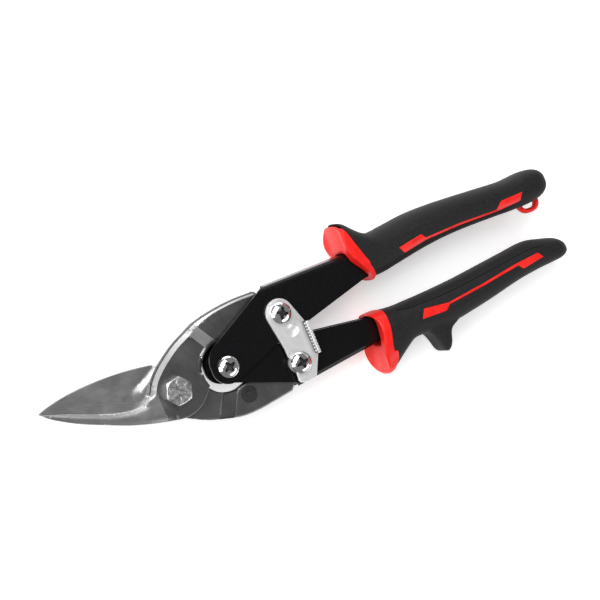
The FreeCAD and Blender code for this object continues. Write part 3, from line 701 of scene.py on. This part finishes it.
UPPER_FLANGE = [ring_of(*row) for row in (
    ([(100.0, 7.3), (96.4, 12.0), (93.0, 17.6), (90.8, 22.0), (90.2, 27.6), (92.8, 34.4)], 11.7, 3.4, 2.0),
    ([(100.6, 7.0), (97.2, 12.0), (94.0, 17.8), (91.8, 22.4), (91.2, 28.4), (94.4, 36.1)], 12.1, 3.3, 1.9),
    ([(101.4, 7.3), (98.8, 12.4), (96.2, 18.4), (94.6, 23.4), (94.8, 29.0), (96.8, 35.2)], 11.9, 3.1, 1.2),
    ([(102.4, 7.6), (100.8, 13.0), (99.2, 19.2), (98.4, 25.0), (99.2, 29.2), (100.4, 31.6)], 11.6, 3.0, 0.4))]
UPPER_SLEEVE = [straight(*row) for row in (
    (104.0, 7.5, 28.2, 11.2), (108.0, 7.6, 26.2, 10.9), (115.6, 8.4, 26.3, 10.8), (127.7, 9.6, 26.9, 10.9),
    (139.5, 10.1, 26.3, 10.9), (151.0, 9.8, 25.1, 10.8), (165.6, 8.7, 23.3, 10.4), (177.0, 7.7, 22.0, 10.0),
    (186.5, 7.5, 22.1, 9.4), (192.0, 8.5, 21.3, 8.0), (195.2, 10.5, 19.3, 5.6), (196.5, 12.8, 16.9, 3.0),
    (196.8, 14.4, 15.2, 0.6))]
LOWER_FLANGE = [ring_of(*row) for row in (
    ([(90.4, -32.2), (88.6, -28.0), (88.4, -22.8), (90.6, -16.0), (91.6, -10.6), (91.6, -6.2)],
     12.0, 3.0, 2.2, 0.12),
    ([(91.8, -33.4), (89.8, -28.6), (89.5, -23.0), (91.8, -16.2), (92.8, -10.6), (93.0, -6.0)],
     12.3, 3.0, 2.0, 0.12),
    ([(95.4, -32.0), (94.0, -27.6), (93.8, -22.4), (95.2, -16.4), (96.2, -10.8), (96.6, -6.1)],
     12.0, 3.0, 1.2, 0.1),
    ([(99.4, -29.4), (98.2, -25.4), (97.8, -21.0), (98.6, -15.6), (99.6, -10.6), (100.0, -6.6)],
     11.7, 3.0, 0.5))]
LOWER_SLEEVE = [straight(*row) for row in (
    (103.8, -27.0, -7.3, 11.2), (108.4, -24.7, -7.8, 10.9), (114.4, -24.8, -8.0, 10.8),
    (119.0, -25.6, -8.2, 10.8), (128.0, -25.7, -8.4, 10.9), (139.0, -24.8, -8.4, 10.9),
    (150.0, -23.6, -8.0, 10.8), (165.3, -21.6, -7.4, 10.4), (177.0, -21.0, -7.1, 10.0),
    (184.0, -21.0, -9.0, 9.4), (189.4, -20.9, -11.0, 8.0), (192.6, -19.9, -13.6, 5.4),
    (193.9, -18.4, -15.8, 2.6), (194.2, -17.4, -16.8, 0.6))]


def outward(rings, gap):
    """The same rings moved out along the skin's normal."""
    along = np.gradient(rings, axis=0)
    around = np.roll(rings, -1, 1) - np.roll(rings, 1, 1)
    normal = np.cross(around, along)
    normal /= np.maximum(np.linalg.norm(normal, axis=2), 1e-9)[..., None]
    middle = rings.mean(1, keepdims=True)
    sign = np.sign((normal * (rings - middle)).sum(2).mean())
    return rings + normal * sign * gap


def guard(name, flange, sleeve, border, mouth, body, node):
    """The hard flared guard: a skin over the flange up to a border, turned in round its mouth."""
    rings = through([*flange, sleeve[0]], 60)
    skinned = outward(rings, 0.22)
    reach = np.array([border(turn) for turn in np.linspace(0, 2 * math.pi, AROUND, endpoint=False)])
    depth = len(rings) - 1
    bands = []
    for t in np.linspace(1, 0.02, 26):
        at = t * reach * depth
        k = np.minimum(at.astype(int), depth - 1)
        f = (at - k)[:, None]
        j = np.arange(AROUND)
        bands.append(skinned[k, j] * (1 - f) + skinned[k + 1, j] * f)
    first = rings[0]
    lip = [first + (mouth - first) * t + np.array((bulge, 0, 0)) for t, bulge in
           ((0.04, 0.0), (0.14, 0.15), (0.5, 0.5), (0.86, 0.8), (0.96, 1.1))]
    wall = [mouth + np.array((d, 0, 0)) for d in (1.6, 3.0, 6.0)]
    below = [bands[0] + (rings.mean(1)[int(depth * 0.6)] - bands[0]) * 0.12]
    loop = np.array(below + bands + lip + wall)
    verts, faces = skin(loop, capped=False)
    count = len(loop)
    for j in range(AROUND):
        k = (j + 1) % AROUND
        faces.append(((count - 1) * AROUND + j, j, k, (count - 1) * AROUND + k))
    shell(name, verts, faces, red, body, [node], "red_plastic", crease=38.0)


def upper_border(turn):
    """How far the red reaches back round the upper guard, 0 at the mouth and 1 at the sleeve."""
    c = math.cos(turn)
    return float(np.interp(c, (-1, -0.8, -0.30, -0.20, 0.10, 0.55, 0.80, 1),
                           (0.40, 0.46, 0.44, 0.54, 0.46, 0.24, 0.06, 0.04)))


def lower_border(turn):
    """The same round the lower guard."""
    c = math.cos(turn)
    return float(np.interp(c, (-1, -0.9, -0.62, -0.34, -0.26, 0.55, 0.9, 1),
                           (0.12, 0.24, 0.44, 0.50, 0.36, 0.42, 0.50, 0.50)))


upper_mouth = ring_of([(98.4, 9.0), (96.0, 13.4), (92.8, 18.0), (91.4, 22.7)], 6.7, 5.0)
lower_mouth = ring_of([(91.4, -21.0), (92.6, -16.4), (93.2, -11.0), (92.8, -6.9)], 5.0, 5.0)
guard("guard_upper_flared", UPPER_FLANGE, UPPER_SLEEVE, upper_border, upper_mouth, "upper_handle",
      "upper_hand_guard")
guard("guard_lower_flared", LOWER_FLANGE, LOWER_SLEEVE, lower_border, lower_mouth, "lower_handle",
      "lower_hand_guard")


def fuse(name, parts, body, node, voxel=0.55, rounds=6):
    """One soft skin over several closed shells that run into each other."""
    verts, faces = [], []
    base = 0
    for v, f in parts:
        verts.append(v)
        faces += [tuple(i + base for i in face) for face in f]
        base += len(v)
    obj = shell(name, np.vstack(verts), faces, rubber, None)
    remesh = obj.modifiers.new("one_skin", "REMESH")
    remesh.mode, remesh.voxel_size = "VOXEL", voxel * MM
    calm = obj.modifiers.new("moulded", "SMOOTH")
    calm.factor, calm.iterations = 0.5, rounds
    done = bpy.data.meshes.new_from_object(obj.evaluated_get(bpy.context.evaluated_depsgraph_get()))
    obj.modifiers.clear()
    obj.data = done
    done.materials.clear()
    done.materials.append(rubber)
    done.polygons.foreach_set("use_smooth", [True] * len(done.polygons))
    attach(obj, body)
    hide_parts(node)


def lump(outlines, sides=64):
    """A closed shell over outlines at several heights, each a list of the same number of corners."""
    rings = []
    for z, points in outlines:
        dense = closed(*points, step=0.8)
        share = np.linspace(0, 1, sides, endpoint=False)
        around = np.vstack((dense, dense[:1]))
        length = np.concatenate(([0], np.cumsum(np.linalg.norm(np.diff(around, axis=0), axis=1))))
        length /= length[-1]
        flat = [np.interp(share, length, around[:, axis]) for axis in (0, 1)]
        rings.append(np.column_stack((*flat, np.full(sides, z))))
    verts, faces = skin(rings)
    return verts, [f[::-1] for f in faces]


def shrink(points, middle, share):
    """Points drawn in towards a middle by a share."""
    return [(middle[0] + (x - middle[0]) * share, middle[1] + (y - middle[1]) * share) for x, y in points]


def sunk_front(rings, depth=7.0):
    """A closed grip shell whose front end is drawn in behind the guard's mouth."""
    verts, faces = skin(rings)
    verts[-2, 0] += depth
    return verts, faces


spur = [(113.0, -20.0), (115.2, -24.0), (117.4, -27.4), (118.4, -30.6), (119.0, -33.4), (119.8, -35.2),
        (121.0, -35.9), (122.4, -35.2), (123.8, -33.0), (124.8, -29.6), (126.4, -27.0), (131.0, -25.0),
        (134.0, -20.0)]
spur_middle = (123.0, -24.0)
spur_shell = lump([(z, shrink(spur, spur_middle, share)) for z, share in
                   ((-7.8, 0.72), (-6.8, 0.9), (-5.2, 1.0), (0, 1.0), (5.2, 1.0), (6.8, 0.9), (7.8, 0.72))])

upper_rings = outward(through([*UPPER_FLANGE[1:], *UPPER_SLEEVE], 150), -0.12)
lower_rings = outward(through([*LOWER_FLANGE[1:], *LOWER_SLEEVE], 150), -0.12)
fuse("grip_upper_soft", [sunk_front(upper_rings)], "upper_handle", "upper_grip_overmould")
fuse("grip_lower_soft", [sunk_front(lower_rings), spur_shell], "lower_handle", "lower_grip_overmould")


def face_height(rings, points):
    """Height of a grip's front face above the shear plane at the given places."""
    near = rings.reshape(-1, 3)
    near = near[near[:, 2] > 3.0]
    gap = np.sqrt(((points[:, None] - near[None, :, :2]) ** 2).sum(2))
    order = np.argsort(gap, axis=1)[:, :6]
    weight = 1 / (np.take_along_axis(gap, order, 1) + 0.05) ** 2
    return (near[order, 2] * weight).sum(1) / weight.sum(1)


def inlay(name, rings, corners, face, body, node):
    """A red strip let into a grip's front face, or its rear one where face is negative."""
    outline = closed(*corners, step=0.7)

    def outer(points, depth):
        return face_height(rings, points) + 0.10 - edge_round(depth, 0.25, 0.25)

    def inner(points, depth):
        return face_height(rings, points) - 1.2

    if face > 0:
        top, bottom = outer, inner
    else:
        def top(points, depth):
            return -inner(points, depth)

        def bottom(points, depth):
            return -outer(points, depth)
    plate(name, outline, [], top, bottom, red, body, [node], "red_plastic", rings=(0.25,), step=0.9)


UPPER_INLAY = [(115.2, 15.6), (127.4, 16.9), (129.0, 14.6), (147.0, 14.0), (165.6, 12.2), (168.8, 15.0),
               (180.6, 14.6), (178.2, 11.0), (165.6, 11.1), (147.0, 12.7), (129.0, 13.3), (117.2, 12.0)]
LOWER_INLAY = [(115.3, -13.2), (127.2, -15.4), (145.0, -14.5), (163.4, -13.1), (176.3, -12.9), (178.4, -15.9),
               (166.7, -16.9), (164.9, -14.5), (146.0, -15.8), (127.4, -16.6), (125.0, -18.6), (112.6, -17.4)]
for face, place in ((1, "front"), (-1, "rear")):
    inlay("inlay_upper_" + place, upper_rings, UPPER_INLAY, face, "upper_handle",
          "upper_grip_%s_inlay" % place)
    inlay("inlay_lower_" + place, lower_rings, LOWER_INLAY, face, "lower_handle",
          "lower_grip_%s_inlay" % place)


# ------------------------------------------------------------------ hang loop
def tube(path, radius, sides=12, flat=1.0):
    """Rings of a tube along a path in space; `flat` scales its height."""
    path = np.asarray(path, dtype=float)
    tangent = np.gradient(path, axis=0)
    tangent /= np.linalg.norm(tangent, axis=1)[:, None]
    rings = []
    for point, t in zip(path, tangent):
        side = np.cross((0, 0, 1), t)
        side /= max(np.linalg.norm(side), 1e-9)
        over = np.cross(t, side)
        turn = np.linspace(0, 2 * math.pi, sides, endpoint=False)
        rings.append(point + radius * (np.cos(turn)[:, None] * side + flat * np.sin(turn)[:, None] * over))
    return np.array(rings)


loop_line = spline([(180.2, 9.4), (181.3, 6.2), (183.4, 4.6), (187.0, 4.4), (189.0, 6.0), (189.6, 9.4)], 0.4)
loop_path = np.column_stack((loop_line, np.zeros(len(loop_line))))
shell("hang_loop_ring", *skin(tube(loop_path, 1.1, 16, 2.2)), red, "upper_handle", ["hang_loop"],
      "red_plastic")

# A moulded crease line runs along each face of the lower grip, under its top edge; its blacker rubber is
# painted shade in the crease.
crease_line = spline([(104.5, -9.2), (112.0, -10.6), (130.3, -11.6), (154.5, -10.9), (172.0, -10.1),
                      (180.0, -11.2)],
                     1.0)
crease_height = face_height(lower_rings, crease_line)
for way, place in ((1, "front"), (-1, "rear")):
    shell("grip_lower_crease_" + place, *skin(tube(np.column_stack((crease_line, way * crease_height)),
                                                   0.28, 8)),
          crease_shade_rubber, "lower_handle", ["lower_grip_overmould"], "black_rubber")


# ------------------------------------------------------------------ torsion spring: one wire
COIL_RADIUS, WIRE = 4.55, 0.65
turns = np.linspace(-90.0, 90.0 + 2 * 360.0, 150)
coil = np.column_stack((HUB[0] + COIL_RADIUS * np.cos(np.radians(turns)),
                        COIL_RADIUS * np.sin(np.radians(turns)), np.linspace(-1.4, 1.4, len(turns))))
leg = np.array([(64.0, 3.2), (60.0, 3.4), (45.0, 3.9), (34.0, 4.3), (28.0, 4.5)])
wire_path = np.vstack((
    [(71.4, -15.4, -1.4), (68.0, -10.4, -1.4), (65.4, -5.2, -1.4)],
    np.column_stack((leg[:, 0], -leg[:, 1], np.full(len(leg), -1.4))), coil,
    np.column_stack((leg[::-1, 0], leg[::-1, 1], np.full(len(leg), 1.4))),
    [(65.4, 5.2, 1.4), (68.0, 10.4, 1.4), (71.4, 15.4, 1.4)]))
spring = shell("torsion_spring_wire", *skin(tube(wire_path, WIRE, 12)), wire_steel, None, ["torsion_spring"],
               "spring_wire")
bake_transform(spring)


# ------------------------------------------------------------------ screws and the main bolt
def rod(radius, ends, tip=0.4, sides=48):
    """A plain round shank between two heights, its lower end chamfered."""
    turn = np.linspace(0, 2 * math.pi, sides, endpoint=False)
    ring = np.column_stack((np.cos(turn), np.sin(turn)))
    low, high = ends
    rings = [np.column_stack((ring * r, np.full(sides, z))) for r, z in
             ((radius - tip, low), (radius, low + tip), (radius, high))]
    return skin(rings)


def join(obj, verts, faces):
    """Adds a closed millimetre shell to an object that is already there."""
    extra = shell(obj.name + "_part", verts, [f[::-1] for f in faces], list(obj.data.materials), None)
    mesh = bmesh.new()
    mesh.from_mesh(obj.data)
    mesh.from_mesh(extra.data)
    mesh.to_mesh(obj.data)
    mesh.free()
    bpy.data.objects.remove(extra)


WING, WING_END, WAIST, ROOT = 2.75, 0.50, 0.66, 1.15
HEAD_RADIUS, HEAD_HEIGHT, SINK, SINK_WALL = 4.6, 2.4, 1.25, 0.24


def turned(points, degrees):
    """Points turned about the origin."""
    c, d = math.cos(math.radians(degrees)), math.sin(math.radians(degrees))
    return [(x * c - y * d, x * d + y * c) for x, y in points]


def pan_screw(name, centre, under_head, bottom, turn, body, node):
    """A pan head with a cross recess, and its shank."""
    cross = []
    for k in range(4):
        cross += turned([(WING, -WING_END), (WING, WING_END), (ROOT, WAIST)], 90 * k + turn)
    cross = closed(*cross, step=0.22)

    def dome(points, depth):
        local = points - centre
        r = np.hypot(local[:, 0], local[:, 1])
        height = HEAD_HEIGHT * (1 - 0.60 * (r / HEAD_RADIUS) ** 3.2)
        gap, _ = nearest(local, cross)
        sunk = np.where(inside(local, cross), np.clip(gap / SINK_WALL, 0, 1), 0)
        return under_head + height - sunk * (SINK - 0.35 * (r / WING) ** 2)

    def under(points, depth):
        return np.full(len(points), under_head)

    # The cross recess takes the dark metal, painted shade.
    def pick(centres, normals):
        return (inside(centres[:, :2] - centre, cross) & (centres[:, 2] > under_head + 0.1)).astype(int)

    centre = np.array(centre)
    outline = arc(centre, HEAD_RADIUS, 0, 356, 0.3)
    ring = inner_ring(cross, SINK_WALL)
    obj = plate(name, outline, [], dome, under, [chrome, recess], body, [node], "chrome_screw", pick,
                step=0.5, lines=[cross + centre, ring + centre], crease=38.0)
    verts, faces = rod(PIN_RADIUS, (bottom, under_head + 0.01))
    join(obj, verts + (*centre, 0), faces)


# After its place, each screw has its head's underside, its shank's end and its recess's turn.
pan_screw("screw_handle_hinge", HUB, 6.0, -10.0, 22, "lower_handle", "handle_hinge_screw")
pan_screw("screw_latch_pivot", UPPER_PIN, 8.3, -9.9, 65, "upper_handle", "latch_pivot_screw")
pan_screw("screw_catch", LOWER_PIN, 7.9, -8.1, 10, "lower_handle", "catch_screw")

BOLT_CORNER = 11.0 / math.sqrt(3)
BOLT_UNDER, BOLT_HEAD, HEAD_FLAT, TICK_RAISE = JAW + 0.1, 4.0, 5.3, 0.16
hexagon = closed(*[polar((0, 0), BOLT_CORNER, 60 * k + 8) for k in range(6)], step=0.4)
tick_corners = [(2.4, -0.32), (4.7, -0.32), (4.7, 0.32), (2.4, 0.32)]
ticks = [closed(*turned(tick_corners, 60 * k + 22), step=0.3) for k in range(6)]


def bolt_top(points, depth):
    r = np.hypot(points[:, 0], points[:, 1])
    height = BOLT_UNDER + BOLT_HEAD - 0.55 * np.clip(r - HEAD_FLAT, 0, None) - 0.10 * smooth((2.0 - r) / 1.2)
    for tick in ticks:
        gap, _ = nearest(points, tick)
        height += np.where(inside(points, tick), np.clip(gap / 0.1, 0, 1) * TICK_RAISE, 0)
    return height - TICK_RAISE


def bolt_under(points, depth):
    return np.full(len(points), BOLT_UNDER)


bolt = plate("bolt_main_pivot", hexagon, [], bolt_top, bolt_under, bolt_zinc, "lower_jaw", ["pivot_bolt"],
             "bolt_steel", step=0.5,
             lines=[*ticks, *[inner_ring(tick, 0.11) for tick in ticks], arc((0, 0), HEAD_FLAT, 0, 356, 0.4)])
join(bolt, *rod(BOLT_RADIUS, (-SHEAR, BOLT_UNDER + 0.01)))


# ------------------------------------------------------------------ latch
LATCH_LOW, LATCH_HIGH, TAB_TOP = 6.1, 7.6, 12.1
SLOT_RADIUS, SLOT_MOUTH = 2.75, LINK_X - 2.2
LIP_LOW, LIP_HIGH = -LINK_Y - SLOT_RADIUS, -LINK_Y + SLOT_RADIUS
DIMPLE, DIMPLE_RADIUS = (LINK_X + 2.2, 2.6), 2.9
TAB_EDGE = 63.5
latch_outline = closed(
    arc(UPPER_PIN, 6.3, 15, 190), (50.4, -3.6), (50.4, LIP_HIGH + 1.4), (50.9, LIP_HIGH + 0.3),
    (SLOT_MOUTH, LIP_HIGH), arc(LOWER_PIN, SLOT_RADIUS, 90, -90, 0.4), (SLOT_MOUTH, LIP_LOW),
    (51.2, LIP_LOW - 0.5), (50.9, -18.3), (51.6, -19.5), (53.8, -20.3), (58.8, -20.3), (TAB_EDGE, -11.4),
    (TAB_EDGE, 4.4))


def latch_top(points, depth):
    away = np.hypot(points[:, 0] - DIMPLE[0], points[:, 1] - DIMPLE[1])
    bowl = 1.0 * np.clip(1 - (away / DIMPLE_RADIUS) ** 2, 0, None) ** 0.8
    return LATCH_HIGH - bowl - edge_round(depth, 0.35, 0.35)


def latch_bottom(points, depth):
    away = np.hypot(points[:, 0] - DIMPLE[0], points[:, 1] - DIMPLE[1])
    return LATCH_LOW + edge_round(depth, 0.2, 0.2) - 0.08 * smooth((DIMPLE_RADIUS - away) / 1.5)


plate("latch_plate", latch_outline, [arc(UPPER_PIN, 2.6, 0, 350, 0.5)], latch_top, latch_bottom, zinc,
      "latch", ["latch"], "zinc_steel", step=0.7, rings=(0.18, 0.35),
      lines=[arc(DIMPLE, DIMPLE_RADIUS, 0, 350, 0.5), arc(DIMPLE, DIMPLE_RADIUS - 0.35, 0, 345, 0.5)])
# The tab's side walls take the dark zinc, painted shade; its top stays plain zinc.
tab_outline = closed((TAB_EDGE - 1.3, 4.1), (TAB_EDGE, 4.1), (TAB_EDGE, -10.5), (TAB_EDGE - 1.3, -10.5))
plate("latch_thumb_tab", tab_outline, [], lambda points, depth: TAB_TOP - edge_round(depth, 0.3, 0.3),
      lambda points, depth: np.full(len(points), LATCH_HIGH - 0.4), [zinc, tab_wall_painted_shade], "latch",
      slot="zinc_steel", pick=lambda centres, normals: (abs(normals[:, 2]) < 0.5).astype(int), step=0.5,
      rings=(0.3,))
RIBS, RIB_FIRST, RIB_PITCH, RIB_HALF = 10, 3.3, 1.4, 0.34
rib_back, rib_edge = TAB_EDGE - 1.62, TAB_EDGE + 0.02
for k in range(RIBS):
    y = RIB_FIRST - k * RIB_PITCH
    rib = np.array([(rib_back, y - RIB_HALF), (rib_edge, y - RIB_HALF), (rib_edge, y + RIB_HALF),
                    (rib_back, y + RIB_HALF)])
    rings = [np.column_stack((rib + shift, np.full(4, z))) for z, shift in
             ((TAB_TOP - 2.4, (0, 0)), (TAB_TOP + 0.05, (0, 0)), (TAB_TOP + 0.3, (-0.15, 0)))]
    verts, faces = skin(rings)
    shell("latch_tab_rib_%02d" % k, verts, [f[::-1] for f in faces], zinc, "latch", slot="zinc_steel")


# ------------------------------------------------------------------ CAD nodes that stay
def kept(node, material, width):
    """Gives a CAD node a material and rounded edges."""
    obj = bpy.data.objects[node]
    obj.data.materials.clear()
    obj.data.materials.append(material)
    bevel = obj.modifiers.new("rounded_edges", "BEVEL")
    bevel.width, bevel.segments, bevel.limit_method = width * MM, 3, "ANGLE"
    bevel.angle_limit = math.radians(30)


for node, material, width in (
        ("upper_handle_channel", black_paint, 0.25), ("lower_handle_channel", black_paint, 0.25),
        ("handle_hinge_nut", zinc, 0.3), ("latch_pivot_nut", zinc, 0.3), ("catch_nut", zinc, 0.3),
        ("handle_hinge_sleeve", zinc, 0.1), ("latch_pivot_washer", zinc, 0.1),
        ("front_tail_spacer", zinc, 0.1), ("rear_tail_spacer", zinc, 0.1), ("catch_collar", zinc, 0.1),
        ("pivot_washer", bolt_zinc, 0.15), ("pivot_lock_nut", bolt_zinc, 0.3)):
    kept(node, material, width)


# ------------------------------------------------------------------ floor
floor_mesh = bpy.data.meshes.new("floor")
FLOOR_HALF, FLOOR_DROP = 6.0, 0.0003
floor_corners = [(x * FLOOR_HALF, y * FLOOR_HALF, 0) for x, y in ((-1, -1), (1, -1), (1, 1), (-1, 1))]
floor_mesh.from_pydata(floor_corners, [], [(0, 1, 2, 3)])
floor_mesh.materials.append(floor_nodes.material)
floor = bpy.data.objects.new("floor", floor_mesh)
bpy.context.collection.objects.link(floor)
floor.location.z = -FLOOR_DROP
